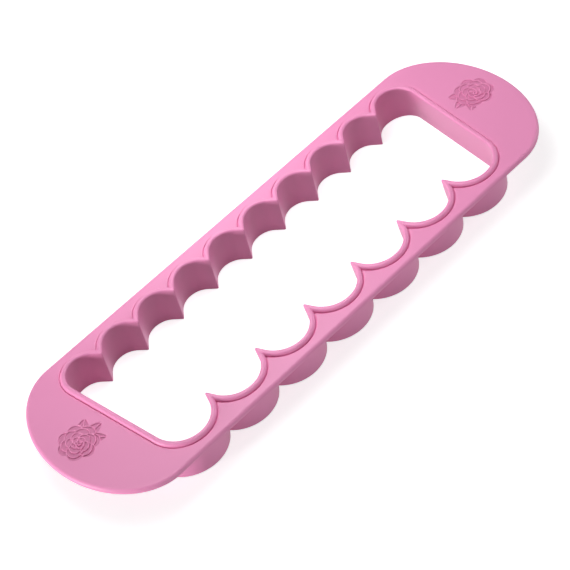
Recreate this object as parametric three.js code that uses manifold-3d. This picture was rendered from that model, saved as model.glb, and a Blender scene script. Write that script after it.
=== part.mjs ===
// Petal strip cutter: a flat grip plate with one scalloped opening, seven large petals along one
// side and ten small ones along the other. Walls round the opening end below in a cutting edge and
// above in a low lip. Millimetres, +Z up, origin on the table under the middle of the plate.

import * as THREE from "three";
import { mergeVertices } from "three/addons/utils/BufferGeometryUtils.js";
import Module from "manifold-3d";

const wasm = await Module();
wasm.setup();

// Large petals, along the -Y side. Their walls flare outwards from the lip to the cutting edge.
const LARGE_PITCH = 30;
const LARGE_RADIUS = 13.8;
const LARGE_TIP_RADIUS = 0.7;
const LARGE_FLANK = THREE.MathUtils.degToRad(22);
const LARGE_FLARE = 1.8;

// Small petals, along the +Y side, with upright walls
const SMALL_PITCH = 22.05;
const SMALL_RADIUS = 10.15;
const SMALL_TIP_RADIUS = 0.5;
const SMALL_FLANK = THREE.MathUtils.degToRad(39.3);

// Opening, from the bottom of the large petals to the top of the small ones. Its end walls lean in
// plan, and flare too.
const OPENING_DEPTH = 73.4;
const OPENING_HALF_LENGTH = 106.1;
const END_LEAN = THREE.MathUtils.degToRad(5.9);
const END_FLARE = 2.8;

// Grip plate
const RAIL_WIDTH = 7.5;
const GRIP_LENGTH = 35.3;
const END_DEPTH = 32.3;
const PLATE_THICKNESS = 2.5;
const EDGE_ROUND = 0.9;

// Walls round the opening, thickest at their root under the plate
const WALL_DEPTH = 16.2;
const WALL_ROOT = 4.6;
const WALL_EDGE = 2.8;
const EDGE_LAND = 1;
const EDGE_RELIEF = 0.6;
const LIP_WIDTH = 3;
const LIP_HEIGHT = 1.4;
const LIP_ROUND = 0.5;
const SEAT_GAP = 0.3;

// Fineness of the round stretches
const PETAL_STEPS = 6;
const TIP_STEPS = 1;
const END_STEPS = 16;

const PLASTIC = new THREE.MeshStandardMaterial({ color: 0xe591bd, roughness: 0.45, metalness: 0 });

const PLATE_TOP = WALL_DEPTH + PLATE_THICKNESS;
const LIP_TOP = PLATE_TOP + LIP_HEIGHT;
const HALF_OPENING = OPENING_DEPTH / 2;
const HALF_PLATE = HALF_OPENING + RAIL_WIDTH;
const HALF_LENGTH = OPENING_HALF_LENGTH + GRIP_LENGTH;
const REACH = 1000;

// A row of equal petals, as many as fit with the outermost centres half a radius or more from the
// opening's ends. Thorns between petals have straight flanks, or none where petals crowd them.
function petalRow(side, pitch, radius, tipRadius, flank, flare) {
  const halfPitch = pitch / 2;
  const count = 1 + Math.floor((OPENING_HALF_LENGTH - radius / 2) / halfPitch);
  const crowded = Math.acos(Math.min(1, halfPitch / (radius + tipRadius)));
  const centreY = side * (HALF_OPENING - radius);
  const endX = halfPitch * (count - 1);
  const widest = Math.max(flank, crowded);
  return { side, count, pitch, halfPitch, radius, tipRadius, centreY, endX, flank: widest, flare };
}

const LARGE = petalRow(-1, LARGE_PITCH, LARGE_RADIUS, LARGE_TIP_RADIUS, LARGE_FLANK, LARGE_FLARE);
const SMALL = petalRow(1, SMALL_PITCH, SMALL_RADIUS, SMALL_TIP_RADIUS, SMALL_FLANK, 0);

function petalX(row, i) {
  return row.pitch * i - row.endX;
}

function arc(x, y, radius, from, to, steps) {
  return Array.from({ length: steps + 1 }, (_, i) => {
    const angle = from + ((to - from) * i) / steps;
    return new THREE.Vector2(x + radius * Math.cos(angle), y + radius * Math.sin(angle));
  });
}

// Half a petal from its apex to the middle of the thorn beside it, pushed out by offset. Points run
// along the row and outwards from the petal's centre, and every offset gives equally many.
function halfPetal(row, offset) {
  const { halfPitch, flank } = row;
  const radius = row.radius + offset;
  const tip = row.tipRadius - offset;
  const cornerOut = (radius - Math.cos(flank) * halfPitch) / Math.sin(flank);
  if (tip > 0) {
    const tipOut = (radius + tip - Math.cos(flank) * halfPitch) / Math.sin(flank);
    return [
      ...arc(0, 0, radius, Math.PI / 2, flank, PETAL_STEPS),
      ...arc(halfPitch, tipOut, tip, Math.PI + flank, Math.PI * 1.5, TIP_STEPS),
    ];
  }
  if (cornerOut > radius * Math.sin(flank)) {
    const end = Math.acos(halfPitch / radius);
    return arc(0, 0, radius, Math.PI / 2, end, PETAL_STEPS + TIP_STEPS + 1);
  }
  const curve = arc(0, 0, radius, Math.PI / 2, flank, PETAL_STEPS);
  const corner = new THREE.Vector2(halfPitch, cornerOut);
  for (let i = 1; i <= TIP_STEPS + 1; i += 1) {
    curve.push(curve[PETAL_STEPS].clone().lerp(corner, i / (TIP_STEPS + 1)));
  }
  return curve;
}

// A row's outline pushed out by offset, from the apex of its first petal to the apex of its last
function rowOutline(row, offset) {
  const half = halfPetal(row, offset);
  const points = [];
  const place = (x, out) => points.push(new THREE.Vector2(x, row.centreY + row.side * out));
  for (let i = 0; i + 1 < row.count; i += 1) {
    const x = petalX(row, i);
    half.forEach((p) => place(x + p.x, p.y));
    half.slice(1, -1).reverse().forEach((p) => place(x + row.pitch - p.x, p.y));
  }
  place(row.endX, row.radius + offset);
  return points;
}

// How far a wall has flared outwards at a height: evenly, from none at the top of the lip
function flared(flare, z) {
  return flare * (1 - z / LIP_TOP);
}

// A quarter ellipse about the outermost petal's centre, from its apex to where the end wall touches it
function endTurn(row, offset, z) {
  const wallX = OPENING_HALF_LENGTH + flared(END_FLARE, z);
  const radius = row.radius + flared(row.flare, z);
  const reach = (wallX - row.endX) * Math.cos(END_LEAN) + row.centreY * Math.sin(END_LEAN);
  const long = Math.sqrt(reach ** 2 - (radius * Math.sin(END_LEAN)) ** 2) / Math.cos(END_LEAN) + offset;
  const across = radius + offset;
  const touch = -Math.atan((across / long) * Math.tan(END_LEAN));
  return arc(0, 0, 1, (row.side * Math.PI) / 2, touch, PETAL_STEPS).map(
    (p) => new THREE.Vector2(row.endX + long * p.x, row.centreY + across * p.y),
  );
}

// The opening's outline at height z pushed out by offset, counter-clockwise
function openingOutline(offset, z) {
  const low = endTurn(LARGE, offset, z).slice(1);
  const high = endTurn(SMALL, offset, z).slice(1).reverse();
  const rightEnd = [...low, ...high];
  const leftEnd = rightEnd.map((p) => new THREE.Vector2(-p.x, p.y)).reverse();
  const [large, small] = [LARGE, SMALL].map((row) => rowOutline(row, offset + flared(row.flare, z)));
  return [...large, ...rightEnd, ...small.reverse(), ...leftEnd];
}

// The plate's outline drawn in by inset: straight sides and half-elliptic ends
function plateOutline(inset) {
  const middleX = HALF_LENGTH - END_DEPTH;
  const quarter = Math.PI / 2;
  const end = new THREE.EllipseCurve(middleX, 0, END_DEPTH - inset, HALF_PLATE - inset, -quarter, quarter);
  const right = end.getPoints(END_STEPS);
  return [...right, ...right.map((p) => new THREE.Vector2(-p.x, -p.y))];
}

// A closed solid through outlines of equally many points, each at its own height
function stack(layers) {
  const count = layers[0].outline.length;
  const positions = layers.flatMap(({ z, outline }) => outline.flatMap((p) => [p.x, p.y, z]));
  const index = [];
  for (let level = 0; level + 1 < layers.length; level += 1) {
    for (let i = 0; i < count; i += 1) {
      const a = level * count + i;
      const b = level * count + ((i + 1) % count);
      index.push(a, b, b + count, a, b + count, a + count);
    }
  }
  const top = (layers.length - 1) * count;
  for (const [a, b, c] of THREE.ShapeUtils.triangulateShape(layers[0].outline, [])) index.push(a, c, b);
  for (const [a, b, c] of THREE.ShapeUtils.triangulateShape(layers[layers.length - 1].outline, [])) {
    index.push(top + a, top + b, top + c);
  }
  const geometry = new THREE.BufferGeometry();
  geometry.setAttribute("position", new THREE.Float32BufferAttribute(positions, 3));
  geometry.setIndex(index);
  return toSolid(geometry);
}

function toSolid(geometry) {
  const bare = geometry.clone();
  bare.deleteAttribute("normal");
  bare.deleteAttribute("uv");
  const merged = mergeVertices(bare);
  const mesh = new wasm.Mesh({
    numProp: 3,
    vertProperties: new Float32Array(merged.attributes.position.array),
    triVerts: new Uint32Array(merged.index.array),
  });
  return new wasm.Manifold(mesh);
}

function toMesh(name, solid) {
  const { vertProperties, triVerts } = solid.getMesh();
  const geometry = new THREE.BufferGeometry();
  geometry.setAttribute("position", new THREE.Float32BufferAttribute(vertProperties, 3));
  geometry.setIndex(new THREE.Uint32BufferAttribute(triVerts, 1));
  geometry.computeVertexNormals();
  const mesh = new THREE.Mesh(geometry, PLASTIC);
  mesh.name = name;
  return mesh;
}

// The space between two x planes and two y planes
function region(x0, x1, y0, y1) {
  const box = new THREE.BoxGeometry(x1 - x0, y1 - y0, REACH);
  return toSolid(box.translate((x0 + x1) / 2, (y0 + y1) / 2, 0));
}

// The opening pushed out by an offset at each of several heights
function openingStack(levels) {
  return stack(levels.map(([z, offset]) => ({ z, outline: openingOutline(offset, z) })));
}

// Walls of the whole opening: relieved cutting edge, wall, seat under the plate, neck and lip
function openingWalls() {
  const outer = openingStack([[0, EDGE_LAND], [EDGE_RELIEF, WALL_EDGE], [WALL_DEPTH, WALL_ROOT]]);
  const neck = openingStack([
    [WALL_DEPTH - EDGE_RELIEF, LIP_WIDTH],
    [LIP_TOP - LIP_ROUND, LIP_WIDTH],
    [LIP_TOP, LIP_WIDTH - LIP_ROUND],
  ]);
  const inner = openingStack([
    [-LIP_HEIGHT, 0],
    [LIP_TOP - LIP_ROUND, 0],
    [LIP_TOP, LIP_ROUND],
    [LIP_TOP + LIP_HEIGHT, LIP_ROUND + LIP_HEIGHT],
  ]);
  return outer.add(neck).subtract(inner);
}

// The whole plate, with its edge rounded off and the opening for the walls' necks
function gripPlate() {
  const body = stack([
    { z: WALL_DEPTH, outline: plateOutline(EDGE_ROUND) },
    { z: WALL_DEPTH + EDGE_ROUND, outline: plateOutline(0) },
    { z: PLATE_TOP - EDGE_ROUND, outline: plateOutline(0) },
    { z: PLATE_TOP, outline: plateOutline(EDGE_ROUND) },
  ]);
  return body.subtract(openingStack([[0, LIP_WIDTH + SEAT_GAP], [LIP_TOP, LIP_WIDTH + SEAT_GAP]]));
}

const cutter = new THREE.Group();

const endBand = (sign) => {
  const [x0, x1] = [sign * Math.min(LARGE.endX, SMALL.endX), sign * REACH].sort((a, b) => a - b);
  return region(x0, x1, LARGE.centreY, SMALL.centreY);
};
const leftBand = endBand(-1);
const rightBand = endBand(1);

// Plate: two end grips between two long rails
const plate = gripPlate();
cutter.add(
  toMesh("grip_left", plate.intersect(leftBand)),
  toMesh("grip_right", plate.intersect(rightBand)),
  toMesh("rail_large_petals", plate.intersect(region(-REACH, REACH, -REACH, LARGE.centreY))),
  toMesh("rail_small_petals", plate.intersect(region(-REACH, REACH, SMALL.centreY, REACH))),
);

// Walls: one blade for each petal, parted in the middle of each thorn, and one for each end
const walls = openingWalls();
const rowWalls = walls.subtract(leftBand).subtract(rightBand);
for (const [row, name] of [[LARGE, "blade_large"], [SMALL, "blade_small"]]) {
  const [y0, y1] = row.side < 0 ? [-REACH, 0] : [0, REACH];
  for (let i = 0; i < row.count; i += 1) {
    const middle = petalX(row, i);
    const x0 = i === 0 ? -REACH : middle - row.halfPitch;
    const x1 = i === row.count - 1 ? REACH : middle + row.halfPitch;
    const label = String(i + 1).padStart(2, "0");
    cutter.add(toMesh(`${name}_${label}`, rowWalls.intersect(region(x0, x1, y0, y1))));
  }
}
cutter.add(toMesh("blade_end_left", walls.intersect(leftBand)));
cutter.add(toMesh("blade_end_right", walls.intersect(rightBand)));

export default cutter;
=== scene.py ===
import math

import bpy
import numpy as np
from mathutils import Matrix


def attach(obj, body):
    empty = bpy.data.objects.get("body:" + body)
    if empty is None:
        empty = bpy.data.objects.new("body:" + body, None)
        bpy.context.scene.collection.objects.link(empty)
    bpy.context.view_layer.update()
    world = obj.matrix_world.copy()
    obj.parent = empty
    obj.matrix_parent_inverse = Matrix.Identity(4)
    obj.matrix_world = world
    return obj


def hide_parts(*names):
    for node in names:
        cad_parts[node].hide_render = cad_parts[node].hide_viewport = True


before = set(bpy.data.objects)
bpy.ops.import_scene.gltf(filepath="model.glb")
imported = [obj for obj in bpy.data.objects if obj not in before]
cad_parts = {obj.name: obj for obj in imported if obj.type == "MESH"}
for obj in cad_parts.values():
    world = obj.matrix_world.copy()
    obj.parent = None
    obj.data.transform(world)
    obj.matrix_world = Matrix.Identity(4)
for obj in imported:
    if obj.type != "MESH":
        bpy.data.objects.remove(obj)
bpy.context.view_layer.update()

# Petal strip cutter, in metres: +X along the strip, +Y towards the small petals, +Z up, and the
# cutting edge at z = 0. One moulding of satin pink plastic.

# Rows of petals: the side of the opening, how many, and the shape of one petal and its thorn
LARGE = dict(
    side=-1, count=7, pitch=0.030, radius=0.0138, tip=0.0007, flank=math.radians(22), flare=0.0018
)
SMALL = dict(
    side=1, count=10, pitch=0.02205, radius=0.01015, tip=0.0005, flank=math.radians(39.3), flare=0.0
)

# Least radius of a thorn's tip, for lines pushed out past its round
SHARPEST_TIP = 0.00004

# Opening and its end walls, which lean in plan and flare out towards the cutting edge
OPENING_HALF_DEPTH = 0.0367
OPENING_HALF_LENGTH = 0.1061
END_LEAN = math.radians(5.9)
END_FLARE = 0.0028

# Plate: grips beyond the opening's ends and rails along its sides, its edge rounded more above than below
GRIP_LENGTH = 0.0353
RAIL_WIDTH = 0.0075
PLATE_HALF_LENGTH = OPENING_HALF_LENGTH + GRIP_LENGTH
PLATE_HALF_WIDTH = OPENING_HALF_DEPTH + RAIL_WIDTH
PLATE_END_DEPTH = 0.0323
PLATE_UNDER = 0.0162
PLATE_THICKNESS = 0.0025
PLATE_TOP = PLATE_UNDER + PLATE_THICKNESS
EDGE_ROUND = 0.0015
EDGE_UNDER = 0.0003

# Lip round the opening, rolled over inside and squarer outside
LIP_HEIGHT = 0.0014
LIP_TOP = PLATE_TOP + LIP_HEIGHT
LIP_ROLL = 0.001
LIP_WIDTH = 0.0026
LIP_SQUARENESS = 2.8

# Groove at the lip's foot: its line runs out from under the lip, over the floor, round the foot of its
# side and up to its brim, as offsets from the opening and heights
GROOVE_DEPTH = 0.0007
GROOVE_FLOOR = PLATE_TOP - GROOVE_DEPTH
GROOVE_EDGE = 0.003
GROOVE_LINE = (
    (LIP_WIDTH - 0.0004, GROOVE_FLOOR),
    (GROOVE_EDGE - 0.0002, GROOVE_FLOOR),
    (GROOVE_EDGE, GROOVE_FLOOR + 0.0001),
    (GROOVE_EDGE + 0.00005, PLATE_TOP - 0.0002),
    (GROOVE_EDGE + 0.00012, PLATE_TOP - 0.00006),
)
GROOVE_BRIM = GROOVE_EDGE + 0.0003

# Walls below the plate, and their neck, which is hidden inside it
WALL_ROOT = 0.0046
WALL_EDGE = 0.0028
WALL_FILLET = 0.0005
FILLET_SINK = 0.00002
EDGE_LAND = 0.001
EDGE_RELIEF = 0.0006
NECK_WIDTH = LIP_WIDTH + 0.0001
NECK_TOP = GROOVE_FLOOR - 0.0002
NECK_FOOT = PLATE_UNDER + 0.0004
PLATE_SEAT = WALL_ROOT - 0.0005

# Rosette pressed into each grip
ROSETTE_X = 0.1252
ROSETTE_Y = 0.002
ROSETTE_REACH = 0.0125
ROSETTE_DEPTH = 0.0005
RIDGE_WIDTH = 0.00034
RIDGE_SLOPE = 0.00026

# Its bloom stands a little further out than its leaves, and is a little longer across the grip. Each ring
# of petals has a number of discs, their distance from the middle, their radius and the ring's turn.
BLOOM_SHIFT = 0.0012
BLOOM_SQUEEZE = 0.96
PETAL_RINGS = (
    (7, 0.0056, 0.0040, 0.3),
    (6, 0.0042, 0.0036, 0.6),
    (5, 0.0027, 0.0029, 0.9),
    (4, 0.0014, 0.0020, 0.2),
    (3, 0.0006, 0.0011, 0.6),
)

# Each leaf points in a direction, has a length, and tapers over its outer stretch. A vein runs along it.
LEAVES = ((2.45, 0.0116), (math.pi, 0.0122), (3.83, 0.0116))
LEAF_HALF_WIDTH = 0.0036
LEAF_TAPER = 0.006
VEIN_SHARE = 0.4

# Plastic: its slowly changing pink, and painted shade, a darker pink, in the rosettes' recesses
PINK_DARKER = (0.832, 0.284, 0.515, 1)
PINK_LIGHTER = (0.850, 0.294, 0.530, 1)
PINK_RECESS_SHADE = (0.680, 0.210, 0.400, 1)
RECESS_START = 0.0001
RECESS_MARGIN = 0.001

# Table: its own grey, its glow to the camera near the object, and where that begins and ends to grow
WHITE = (1, 1, 1, 1)
TABLE_SIZE = 6
TABLE_GREY = (0.58, 0.58, 0.58, 1)
TABLE_GLOW = 0.76
GLOW_NEAR = 0.2
GLOW_FAR = 0.7

# Light: an even one from all around, and softboxes with a place, a target, a size and a power
WORLD_LIGHT = 0.03
MIDDLE = (0.0, 0.0, 0.0)
SOFTBOXES = {
    "overhead": ((0.0, 0.10, 0.45), MIDDLE, 0.3, 1.0),
    "behind": ((0.05, 0.14, 0.18), MIDDLE, 0.1, 0.11),
    "above_rail": ((0.03, 0.045, 0.20), (0.02, 0.0, 0.0), 0.1, 0.11),
    "left": ((-0.25, 0.05, 0.35), MIDDLE, 0.2, 0.1),
    "right": ((0.50, -0.15, 0.20), MIDDLE, 0.2, 0.6),
    "low_left": ((-0.60, 0.08, 0.07), MIDDLE, 0.12, 2.3),
    "low_front": ((-0.15, -0.60, 0.011), (0.0, 0.0, 0.011), 0.02, 0.85),
}

# Camera, with its turn in degrees and its lens in millimetres
CAMERA_PLACE = (-0.333719, -0.506249, 0.675937)
CAMERA_TURN = (40.9153, 10.6911, -45.0048)
CAMERA_LENS = 127.2
SENSOR_WIDTH = 36
CAMERA_NEAR = 0.01

# Fineness of the meshes, and the angle past which a fold between faces stays sharp
ARC_STEPS = 14
FLANK_STEPS = 4
TIP_STEPS = 6
END_WALL_STEPS = 24
INNER_STEPS = 8
ROLL_STEPS = 12
DROP_STEPS = 16
FILLET_STEPS = 5
OUTER_STEPS = 5
PLATE_END_STEPS = 720
EDGE_STEPS = 8
UNDER_STEPS = 5
RAIL_STEPS = 6
SHARP_ANGLE = math.radians(38)

# Along a grip: steps up to the rosette's band, across it and on. Outwards: where the fine band begins and
# ends as shares of the grip's top, and the steps up to it, across it and on.
GRIP_STEPS_ALONG = (40, 150, 40)
FINE_FROM = 0.1
FINE_TO = 0.94
GRIP_STEPS_OUT = (3, 140, 2)


def row_centre(row):
    """The y of a row's petal centres: a petal's radius in from the opening's side."""
    return row["side"] * (OPENING_HALF_DEPTH - row["radius"])


def row_end(row):
    """The x of a row's outermost petal centre: half the pitch for each gap between petals."""
    return row["pitch"] * (row["count"] - 1) / 2


def half_petal(row, offset):
    """Half a petal pushed out by offset, from its apex to the middle of the thorn: the petal's arc,
    a straight flank that touches it, and a small arc round the thorn's tip that touches the flank."""
    half = row["pitch"] / 2
    radius = row["radius"] + offset
    tip = max(row["tip"] - offset, SHARPEST_TIP)
    flank = max(row["flank"], math.acos(min(1.0, half / (radius + tip))))
    tip_out = (radius + tip - math.cos(flank) * half) / math.sin(flank)
    petal = np.linspace(math.pi / 2, flank, ARC_STEPS + 1)
    round_tip = np.linspace(math.pi + flank, 1.5 * math.pi, TIP_STEPS + 1)
    arc = radius * np.column_stack([np.cos(petal), np.sin(petal)])
    point = np.array([half, tip_out]) + tip * np.column_stack([np.cos(round_tip), np.sin(round_tip)])
    straight = np.linspace(arc[-1], point[0], FLANK_STEPS + 1)[1:-1]
    return np.vstack([arc, straight, point])


def flared(flare, height):
    """How far a wall has flared out at a height: evenly, from none at the lip's top."""
    return flare * (1 - height / LIP_TOP)


def petal_row(row, offset, height):
    """A row's outline from its first apex to its last: the stretch between two apexes is a half petal
    and its mirror image about the thorn, and it is repeated at each pitch."""
    half = half_petal(row, offset + flared(row["flare"], height))
    mirrored = np.column_stack([row["pitch"] - half[-2:0:-1, 0], half[-2:0:-1, 1]])
    stretch = np.vstack([half, mirrored])
    starts = row["pitch"] * np.arange(row["count"] - 1) - row_end(row)
    along = np.append((starts[:, None] + stretch[None, :, 0]).ravel(), row_end(row))
    out = np.append(np.tile(stretch[:, 1], row["count"] - 1), half[0, 1])
    return np.column_stack([along, row_centre(row) + row["side"] * out])


def end_turn(row, offset, height):
    """The turn from an outermost apex into the end wall: a quarter ellipse about the petal's centre,
    wide enough to touch the wall's straight line at this height."""
    wall_x = OPENING_HALF_LENGTH + flared(END_FLARE, height)
    reach = (wall_x - row_end(row)) * math.cos(END_LEAN) + row_centre(row) * math.sin(END_LEAN)
    radius = row["radius"] + flared(row["flare"], height)
    leaning = radius * math.sin(END_LEAN)
    long = math.sqrt(reach**2 - leaning**2) / math.cos(END_LEAN) + offset
    across = radius + offset
    touch = -math.atan(across / long * math.tan(END_LEAN))
    angle = np.linspace(row["side"] * math.pi / 2, touch, ARC_STEPS + 1)
    return np.column_stack([row_end(row) + long * np.cos(angle), row_centre(row) + across * np.sin(angle)])


def right_end(offset, height):
    """The +X end of the opening from apex to apex: a turn, the straight end wall and a turn."""
    low = end_turn(LARGE, offset, height)
    high = end_turn(SMALL, offset, height)[::-1]
    return np.vstack([low, np.linspace(low[-1], high[0], END_WALL_STEPS + 1)[1:-1], high])


def opening_outline(offset, height):
    """The whole outline of the opening, counter-clockwise: large row, right end, small row, left end."""
    right = right_end(offset, height)[1:-1]
    left = right[::-1] * [-1, 1]
    large = petal_row(LARGE, offset, height)
    small = petal_row(SMALL, offset, height)[::-1]
    return np.vstack([large, right, small, left])


def at_height(outline, height):
    """Points of a plan outline lifted to a height, or to one height each."""
    return np.column_stack([outline, np.broadcast_to(height, len(outline))])


def add_piece(name, points, closed_columns):
    """A mesh from a grid of points: each row is one line along the piece, and the rows close into a
    loop. The columns close too, or else the loop is capped at both ends. Faces are turned outwards
    by the sign of the enclosed volume, the sum of a . (b x c) over the quads' two triangles."""
    rows, columns = points.shape[:2]
    index = np.arange(rows * columns).reshape(rows, columns)
    loop = np.vstack([index, index[:1]])
    if closed_columns:
        loop = np.hstack([loop, loop[:, :1]])
    corners = [loop[:-1, :-1], loop[:-1, 1:], loop[1:, 1:], loop[1:, :-1]]
    quads = np.stack(corners, axis=-1).reshape(-1, 4)
    vertices = points.reshape(-1, 3)
    a, b, c, d = (vertices[quads[:, i]] - vertices.mean(axis=0) for i in range(4))
    volume = np.einsum("ij,ij->", a, np.cross(b, c)) + np.einsum("ij,ij->", a, np.cross(c, d))
    faces = quads[:, ::-1].tolist() if volume < 0 else quads.tolist()
    if not closed_columns:
        first, last = index[:, 0].tolist(), index[:, -1].tolist()
        faces += [first[::-1], last] if volume < 0 else [first, last[::-1]]
    mesh = bpy.data.meshes.new(name)
    mesh.from_pydata(vertices, [], faces)
    mesh.polygons.foreach_set("use_smooth", np.ones(len(mesh.polygons), dtype=bool))
    mesh.set_sharp_from_angle(angle=SHARP_ANGLE)
    mesh.update()
    piece = bpy.data.objects.new(name, mesh)
    bpy.context.collection.objects.link(piece)
    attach(piece, "root")
    return piece


def lip_profile():
    """The lip's section: a quarter circle up to its crest, and a squarer, superelliptic quarter down
    into the groove, in which cosine and sine are raised to 2 / squareness."""
    roll = np.linspace(math.pi, math.pi / 2, ROLL_STEPS + 1)
    drop = np.linspace(math.pi / 2, 0, DROP_STEPS + 1)[1:]
    power = 2 / LIP_SQUARENESS
    rolled_offset = LIP_ROLL * (1 + np.cos(roll))
    rolled_height = LIP_TOP - LIP_ROLL * (1 - np.sin(roll))
    dropped_offset = LIP_ROLL + (LIP_WIDTH - LIP_ROLL) * np.cos(drop) ** power
    dropped_height = GROOVE_FLOOR + (LIP_TOP - GROOVE_FLOOR) * np.abs(np.sin(drop)) ** power
    return [np.append(rolled_offset, dropped_offset), np.append(rolled_height, dropped_height)]


def wall_profile():
    """The walls' section as offsets from the inner face and heights, one closed loop: up the inner
    face, over the lip, down the neck inside the plate to the quarter-circle fillet under it, down the
    outer face and along the relieved underside to the cutting land."""
    inner = [np.zeros(INNER_STEPS), np.linspace(0, LIP_TOP - LIP_ROLL, INNER_STEPS + 1)[:-1]]
    neck = [[NECK_WIDTH, NECK_WIDTH], [NECK_TOP, NECK_FOOT]]
    turn = np.linspace(1.5 * math.pi, math.pi, FILLET_STEPS + 1)
    fillet = [
        WALL_ROOT + WALL_FILLET * (1 + np.cos(turn)),
        PLATE_UNDER + FILLET_SINK - WALL_FILLET * (1 + np.sin(turn)),
    ]
    outer = [
        np.linspace(WALL_ROOT, WALL_EDGE, OUTER_STEPS + 1)[1:],
        np.linspace(PLATE_UNDER - WALL_FILLET, EDGE_RELIEF, OUTER_STEPS + 1)[1:],
    ]
    edge = [[EDGE_LAND], [0.0]]
    parts = (inner, lip_profile(), neck, fillet, outer, edge)
    return np.hstack([np.array(part, dtype=float) for part in parts])


def build_walls():
    """The walls round the opening: the section carried round the outline."""
    section = wall_profile().T
    levels = [at_height(opening_outline(offset, height), height) for offset, height in section]
    walls = add_piece("petal_walls", np.stack(levels), closed_columns=True)
    blades = ["blade_end_left", "blade_end_right"]
    blades += [f"blade_large_{i:02d}" for i in range(1, LARGE["count"] + 1)]
    blades += [f"blade_small_{i:02d}" for i in range(1, SMALL["count"] + 1)]
    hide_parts(*blades)
    return walls


def resample(path):
    """A path from apex to apex cut into three: up to the rosette's band of y, evenly in y across that
    band, and on to the end, so that lines between two such paths run straight across the grip."""
    length = np.append(0, np.cumsum(np.hypot(*np.diff(path, axis=0).T)))
    before, band, after = GRIP_STEPS_ALONG
    band_y = np.linspace(ROSETTE_Y - ROSETTE_REACH, ROSETTE_Y + ROSETTE_REACH, band + 1)
    band_length = np.interp(band_y, path[:, 1], length)
    low = np.linspace(0, band_length[0], before + 1)[:-1]
    high = np.linspace(band_length[-1], length[-1], after + 1)[1:]
    places = np.concatenate([low, band_length, high])
    return np.column_stack([np.interp(places, length, path[:, 0]), np.interp(places, length, path[:, 1])])


def plate_end(inset):
    """The plate's +X outline drawn in by inset, between the x of the outermost petals: a straight
    side, half an ellipse and the other side."""
    middle = PLATE_HALF_LENGTH - PLATE_END_DEPTH
    angle = np.linspace(-math.pi / 2, math.pi / 2, PLATE_END_STEPS + 1)
    ellipse = np.column_stack([
        middle + (PLATE_END_DEPTH - inset) * np.cos(angle),
        (PLATE_HALF_WIDTH - inset) * np.sin(angle),
    ])
    start = [row_end(LARGE), -(PLATE_HALF_WIDTH - inset)]
    finish = [row_end(SMALL), PLATE_HALF_WIDTH - inset]
    return np.vstack([start, ellipse, finish])


def recessed(inside):
    """The height of a recess at a distance inside its rim: the plate's level along a ridge, then a
    slope down, smoothed as 3 t^2 - 2 t^3."""
    slope = np.clip((inside - RIDGE_WIDTH) / RIDGE_SLOPE, 0, 1)
    return -ROSETTE_DEPTH * slope**2 * (3 - 2 * slope)


def lay_leaf(along, across, height, direction, length):
    """Lays a recessed leaf over a relief. Its half width falls as the square root of the way left to its
    tip, and the recess rises to nothing along the vein in its middle."""
    lengthwise = along * math.cos(direction) + across * math.sin(direction)
    sideways = np.abs(across * math.cos(direction) - along * math.sin(direction))
    half_width = LEAF_HALF_WIDTH * np.sqrt(np.clip((length - lengthwise) / LEAF_TAPER, 0, 1))
    inside = np.minimum(half_width - sideways, lengthwise)
    vein = np.clip(sideways / RIDGE_WIDTH - VEIN_SHARE, 0, 1)
    return np.where(inside > 0, recessed(inside) * vein, height)


def lay_petal_ring(along, across, height, count, distance, radius, turn):
    """Lays equal recessed discs, evenly round a circle and one over another, over a relief."""
    angles = turn + 2 * math.pi * np.arange(count) / count
    for angle in angles:
        from_centre = np.hypot(along - distance * math.cos(angle), across - distance * math.sin(angle))
        inside = radius - from_centre
        height = np.where(inside > 0, recessed(inside), height)
    return height


def rosette(x, y):
    """The rosette's height at points of the grip: three leaves towards the opening, and over them rings
    of overlapping round petals, wide ones first and the heart last."""
    along = x - ROSETTE_X
    across = y - ROSETTE_Y
    height = np.zeros_like(x)
    for direction, length in LEAVES:
        height = lay_leaf(along, across, height, direction, length)
    for count, distance, radius, turn in PETAL_RINGS:
        height = lay_petal_ring(
            along - BLOOM_SHIFT, across * BLOOM_SQUEEZE, height, count, distance, radius, turn
        )
    return height


def plain_top(x, y):
    """No relief at all."""
    return np.zeros_like(x)


def plate_rows(inner_line, outer_line, fractions, relief):
    """The plate's section between two lines in plan as rows of points, one closed loop: the groove, the
    top with any relief, a quarter circle down the outer edge, a smaller one under it, the underside."""
    rows = [at_height(inner_line(offset), height) for offset, height in GROOVE_LINE]
    top_inner = inner_line(GROOVE_BRIM)
    top_outer = outer_line(EDGE_ROUND)
    for fraction in fractions:
        line = top_inner + (top_outer - top_inner) * fraction
        rows.append(at_height(line, PLATE_TOP + relief(line[:, 0], line[:, 1])))
    for angle in np.linspace(0, math.pi / 2, EDGE_STEPS + 1)[1:]:
        line = outer_line(EDGE_ROUND * (1 - math.sin(angle)))
        rows.append(at_height(line, PLATE_TOP - EDGE_ROUND * (1 - math.cos(angle))))
    for angle in np.linspace(math.pi / 2, math.pi, UNDER_STEPS + 1):
        line = outer_line(EDGE_UNDER * (1 - math.sin(angle)))
        rows.append(at_height(line, PLATE_UNDER + EDGE_UNDER * (1 + math.cos(angle))))
    rows.append(at_height(inner_line(PLATE_SEAT), PLATE_UNDER))
    return np.stack(rows)


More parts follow.
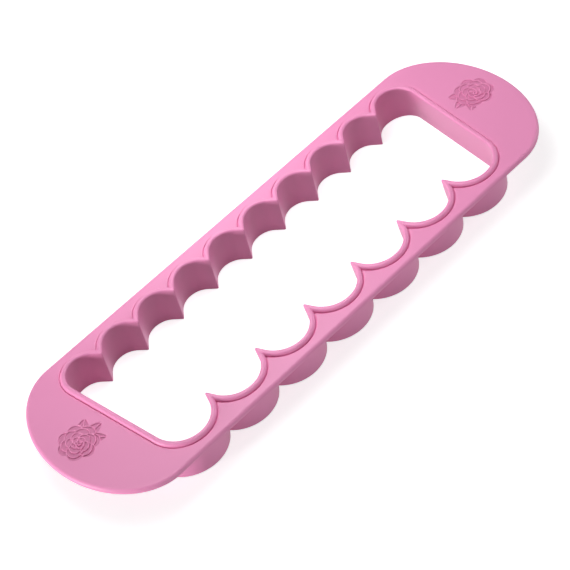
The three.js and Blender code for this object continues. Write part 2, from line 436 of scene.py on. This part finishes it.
def build_grips():
    """The two end grips, mirrored, with the rosettes pressed into their tops. Each runs from the groove
    at the opening's end to the plate's round end."""
    def inner_line(offset):
        """The opening's end at the plate's top, pushed out by offset."""
        return resample(right_end(offset, PLATE_TOP))

    def outer_line(inset):
        """The plate's end, drawn in by inset."""
        return resample(plate_end(inset))

    before, fine, after = GRIP_STEPS_OUT
    fractions = np.concatenate([
        np.linspace(0, FINE_FROM, before + 1)[:-1],
        np.linspace(FINE_FROM, FINE_TO, fine + 1),
        np.linspace(FINE_TO, 1, after + 1)[1:],
    ])
    points = plate_rows(inner_line, outer_line, fractions, rosette)
    grips = []
    for name, sign in (("grip_right", 1), ("grip_left", -1)):
        grip = add_piece("plate_" + name, points * [sign, 1, 1], closed_columns=False)
        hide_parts(name)
        grips.append(grip)
    return grips


def build_rail(row, node):
    """One long rail, from the groove behind a row of petals to the plate's straight side."""
    def inner_line(offset):
        """The row of petals at the plate's top, pushed out by offset."""
        return petal_row(row, offset, PLATE_TOP)

    along = inner_line(GROOVE_EDGE)[:, 0]

    def outer_line(inset):
        """The plate's straight side, drawn in by inset, with one point for each of the row's."""
        side = row["side"] * (PLATE_HALF_WIDTH - inset)
        return np.column_stack([along, np.full(len(along), side)])

    points = plate_rows(inner_line, outer_line, np.linspace(0, 1, RAIL_STEPS + 1), plain_top)
    rail = add_piece("plate_" + node, points, closed_columns=False)
    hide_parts(node)
    return rail


def add_math(nodes, links, operation, *inputs):
    """The output of a new Math node, whose inputs are numbers or other nodes' outputs."""
    node = nodes.new("ShaderNodeMath")
    node.operation = operation
    for socket, value in zip(node.inputs, inputs):
        if isinstance(value, bpy.types.NodeSocket):
            links.new(value, socket)
        else:
            socket.default_value = value
    return node.outputs["Value"]


def rosette_recess_shade(nodes, links, place):
    """The mask for the painted shade in the rosettes' recesses, from 0 to 1: how deep a place lies in a
    rosette, its depth below the plate's top, counted within the rosettes' reach of their middles, which
    are mirrored in x, and only near that top."""
    apart = nodes.new("ShaderNodeSeparateXYZ")
    links.new(place, apart.inputs["Vector"])
    folded = nodes.new("ShaderNodeCombineXYZ")
    links.new(add_math(nodes, links, "ABSOLUTE", apart.outputs["X"]), folded.inputs["X"])
    links.new(apart.outputs["Y"], folded.inputs["Y"])
    away = nodes.new("ShaderNodeVectorMath")
    away.operation = "DISTANCE"
    away.inputs[1].default_value = (ROSETTE_X, ROSETTE_Y, 0)
    links.new(folded.outputs["Vector"], away.inputs[0])
    near = add_math(nodes, links, "LESS_THAN", away.outputs["Value"], ROSETTE_REACH + RECESS_MARGIN)
    on_top = add_math(nodes, links, "COMPARE", apart.outputs["Z"], PLATE_TOP, 2 * ROSETTE_DEPTH)
    sunk = nodes.new("ShaderNodeMapRange")
    sunk.inputs["From Min"].default_value = PLATE_TOP - RECESS_START
    sunk.inputs["From Max"].default_value = PLATE_TOP - ROSETTE_DEPTH
    links.new(apart.outputs["Z"], sunk.inputs["Value"])
    sunk_on_top = add_math(nodes, links, "MULTIPLY", on_top, sunk.outputs["Result"])
    return add_math(nodes, links, "MULTIPLY", near, sunk_on_top)


def satin_pink_plastic():
    """Satin pink plastic: slow cloudy change of tint and gloss, a very fine grain in the surface, and
    painted shade, a darker pink, in the rosettes' recesses."""
    material = bpy.data.materials.new("satin_pink_plastic")
    material.use_nodes = True
    nodes, links = material.node_tree.nodes, material.node_tree.links
    shader = nodes["Principled BSDF"]
    shader.inputs["Specular IOR Level"].default_value = 0.4
    place = nodes.new("ShaderNodeTexCoord").outputs["Object"]
    clouds = nodes.new("ShaderNodeTexNoise")
    clouds.inputs["Scale"].default_value = 35
    clouds.inputs["Detail"].default_value = 3
    links.new(place, clouds.inputs["Vector"])
    tint = nodes.new("ShaderNodeValToRGB")
    darker, lighter = tint.color_ramp.elements
    darker.position = 0.3
    darker.color = PINK_DARKER
    lighter.position = 0.7
    lighter.color = PINK_LIGHTER
    links.new(clouds.outputs["Fac"], tint.inputs["Fac"])
    # Painted shade: a darker pink mixed into the base colour where the rosettes' recesses lie
    recess_shade = nodes.new("ShaderNodeMix")
    recess_shade.data_type = "RGBA"
    recess_shade.inputs["B"].default_value = PINK_RECESS_SHADE
    links.new(rosette_recess_shade(nodes, links, place), recess_shade.inputs["Factor"])
    links.new(tint.outputs["Color"], recess_shade.inputs["A"])
    links.new(recess_shade.outputs["Result"], shader.inputs["Base Color"])
    gloss = nodes.new("ShaderNodeMapRange")
    gloss.inputs["To Min"].default_value = 0.40
    gloss.inputs["To Max"].default_value = 0.48
    links.new(clouds.outputs["Fac"], gloss.inputs["Value"])
    links.new(gloss.outputs["Result"], shader.inputs["Roughness"])
    grain = nodes.new("ShaderNodeTexNoise")
    grain.inputs["Scale"].default_value = 2600
    grain.inputs["Detail"].default_value = 2
    links.new(place, grain.inputs["Vector"])
    bump = nodes.new("ShaderNodeBump")
    bump.inputs["Strength"].default_value = 0.06
    bump.inputs["Distance"].default_value = 0.0002
    links.new(grain.outputs["Fac"], bump.inputs["Height"])
    links.new(bump.outputs["Normal"], shader.inputs["Normal"])
    return material


def seen_directly(nodes, links):
    """Gives 1 to the camera, mirrors and glass, and 0 to light that falls on things."""
    path = nodes.new("ShaderNodeLightPath").outputs
    camera_or_mirror = add_math(nodes, links, "MAXIMUM", path["Is Camera Ray"], path["Is Glossy Ray"])
    return add_math(nodes, links, "MAXIMUM", camera_or_mirror, path["Is Transmission Ray"])


def white_table():
    """A table top whose own grey catches the light and the object's shadow. To the camera and to mirrors
    it glows as well, fully far from the object, so that it looks white wherever no shadow falls."""
    material = bpy.data.materials.new("white_table")
    material.use_nodes = True
    nodes, links = material.node_tree.nodes, material.node_tree.links
    surface = nodes["Principled BSDF"]
    surface.inputs["Base Color"].default_value = TABLE_GREY
    surface.inputs["Roughness"].default_value = 0.9
    surface.inputs["Specular IOR Level"].default_value = 0.0
    surface.inputs["Emission Color"].default_value = WHITE
    away = nodes.new("ShaderNodeVectorMath")
    away.operation = "LENGTH"
    links.new(nodes.new("ShaderNodeTexCoord").outputs["Object"], away.inputs[0])
    growing = nodes.new("ShaderNodeMapRange")
    growing.inputs["From Min"].default_value = GLOW_NEAR
    growing.inputs["From Max"].default_value = GLOW_FAR
    growing.inputs["To Min"].default_value = TABLE_GLOW
    growing.inputs["To Max"].default_value = 1.0
    links.new(away.outputs["Value"], growing.inputs["Value"])
    glow = add_math(nodes, links, "MULTIPLY", seen_directly(nodes, links), growing.outputs["Result"])
    links.new(glow, surface.inputs["Emission Strength"])
    return material


def white_studio():
    """The world: white to the camera and to mirrors, and a faint even light on the object."""
    world = bpy.data.worlds.new("studio")
    world.use_nodes = True
    nodes, links = world.node_tree.nodes, world.node_tree.links
    background = nodes["Background"]
    background.inputs["Color"].default_value = WHITE
    strength = add_math(nodes, links, "MAXIMUM", seen_directly(nodes, links), WORLD_LIGHT)
    links.new(strength, background.inputs["Strength"])
    return world


def add_table():
    """The table under the cutting edge, as part of the stage."""
    bpy.ops.mesh.primitive_plane_add(size=TABLE_SIZE)
    table = bpy.context.object
    table.name = "table"
    table.data.materials.append(white_table())


def add_softbox(name, place, target, size, power):
    """A square area lamp at a place, turned to face a target."""
    lamp = bpy.data.lights.new(name, "AREA")
    lamp.size = size
    lamp.energy = power
    softbox = bpy.data.objects.new(name, lamp)
    softbox.location = place
    facing = softbox.location.copy()
    facing.xyz = [t - p for t, p in zip(target, place)]
    softbox.rotation_euler = facing.to_track_quat("-Z", "Y").to_euler()
    bpy.context.collection.objects.link(softbox)


def add_camera():
    """The camera of the photograph: high in front, to the left, slightly rolled."""
    lens = bpy.data.cameras.new("camera")
    lens.lens = CAMERA_LENS
    lens.sensor_width = SENSOR_WIDTH
    lens.clip_start = CAMERA_NEAR
    camera = bpy.data.objects.new("camera", lens)
    camera.location = CAMERA_PLACE
    camera.rotation_euler = [math.radians(angle) for angle in CAMERA_TURN]
    bpy.context.collection.objects.link(camera)
    bpy.context.scene.camera = camera


plastic = satin_pink_plastic()
pieces = [build_walls(), *build_grips()]
pieces += [build_rail(LARGE, "rail_large_petals"), build_rail(SMALL, "rail_small_petals")]
for piece in pieces:
    piece.data.materials.append(plastic)

add_table()
for name, (place, target, size, power) in SOFTBOXES.items():
    add_softbox(name, place, target, size, power)
bpy.context.scene.world = white_studio()
bpy.context.scene.view_settings.view_transform = "Standard"
add_camera()
